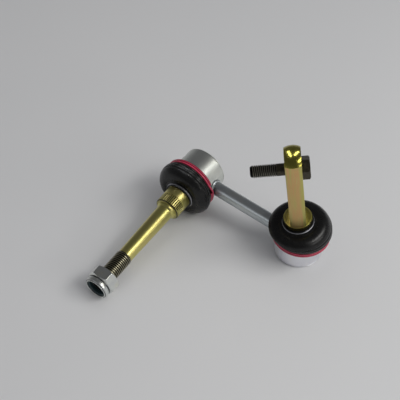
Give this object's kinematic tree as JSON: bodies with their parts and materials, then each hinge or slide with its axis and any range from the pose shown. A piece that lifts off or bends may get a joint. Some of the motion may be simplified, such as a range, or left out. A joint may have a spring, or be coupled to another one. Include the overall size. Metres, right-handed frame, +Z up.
{
  "type": "stabilizer link",
  "caption": "Short stabilizer link: a welded rod joins sealed ball joints at right angles, one with a long splined stud and lock nut, the other with a flat eye stud and cross bolt.",
  "frame": {"origin": "centre of the eye housing's flat closed end", "axes": "+Z up with the link lying on a table as pictured, +X in plan from the threaded stud's joint along the rod to the eye joint, the threaded stud toward -Y"},
  "size_m": [0.1346, 0.1389, 0.1093],
  "materials": {
    "bright_zinc": "satin",
    "yellow_zinc": "satin",
    "plain_steel": "satin",
    "black_oxide": "satin",
    "boot_rubber": "satin",
    "red_wire": "gloss",
    "seat_plastic": "satin",
    "nylon": "satin"
  },
  "bodies": {
    "link": {"link_rod": "bright_zinc", "stud_housing": "bright_zinc", "stud_ball_seat": "seat_plastic", "stud_retainer": "plain_steel", "stud_clamp_ring": "red_wire", "eye_housing": "bright_zinc", "eye_ball_seat": "seat_plastic", "eye_retainer": "plain_steel", "eye_clamp_ring": "red_wire"},
    "stud_boot": {"stud_boot": "boot_rubber"},
    "stud_neck": {"stud_neck_ring": "plain_steel"},
    "stud": {"ball_stud": "yellow_zinc"},
    "nut_insert": {"nut_insert": "nylon"},
    "nut": {"lock_nut": "bright_zinc"},
    "eye_boot": {"eye_boot": "boot_rubber"},
    "eye_neck": {"eye_neck_ring": "plain_steel"},
    "eye": {"eye_stud": "yellow_zinc"},
    "bolt": {"cross_bolt": "black_oxide"}
  },
  "joints": [
    {"name": "stud_swivel", "type": "hinge", "parent": "link", "child": "stud_boot", "pos_m": [-0.08914, -0.00098, 0.02113], "axis": [-0.008, -0.9968, -0.0798], "continuous": true},
    {"name": "stud_swing", "type": "hinge", "parent": "stud_boot", "child": "stud_neck", "pos_m": [-0.08914, -0.00098, 0.02113], "axis": [0.7736, -0.0567, 0.6311], "range_deg": [-24.4, 19.6], "deforming": ["stud_boot"]},
    {"name": "stud_spin", "type": "hinge", "parent": "stud_neck", "child": "stud", "pos_m": [-0.08914, -0.00098, 0.02113], "axis": [0.0186, -0.9935, -0.112], "continuous": true},
    {"name": "nut_travel", "type": "slide", "parent": "stud", "child": "nut_insert", "axis": [0.0186, -0.9935, -0.112], "range_m": [-0.018, 0.0105]},
    {"name": "nut_turn", "type": "hinge", "parent": "nut_insert", "child": "nut", "pos_m": [-0.08719, -0.1056, 0.00933], "axis": [0.0186, -0.9935, -0.112], "range_deg": [-4320, 2520]},
    {"name": "eye_swivel", "type": "hinge", "parent": "link", "child": "eye_boot", "pos_m": [0.00121, -0.00098, 0.01211], "axis": [0.099, -0.0802, 0.9919], "continuous": true},
    {"name": "eye_swing", "type": "hinge", "parent": "eye_boot", "child": "eye_neck", "pos_m": [0.00121, -0.00098, 0.01211], "axis": [0.6855, -0.717, -0.1264], "range_deg": [-31.8, 12.2], "deforming": ["eye_boot"]},
    {"name": "eye_spin", "type": "hinge", "parent": "eye_neck", "child": "eye", "pos_m": [0.00121, -0.00098, 0.01211], "axis": [-0.0252, -0.1969, 0.9801], "continuous": true},
    {"name": "bolt_pull", "type": "slide", "parent": "eye", "child": "bolt", "axis": [0.8129, 0.5666, 0.1347], "range_m": [0, 0.037]}
  ],
  "couplings": [
    {"joint": "nut_travel", "follows": "nut_turn", "m_per_rad": 0.00023873}
  ]
}
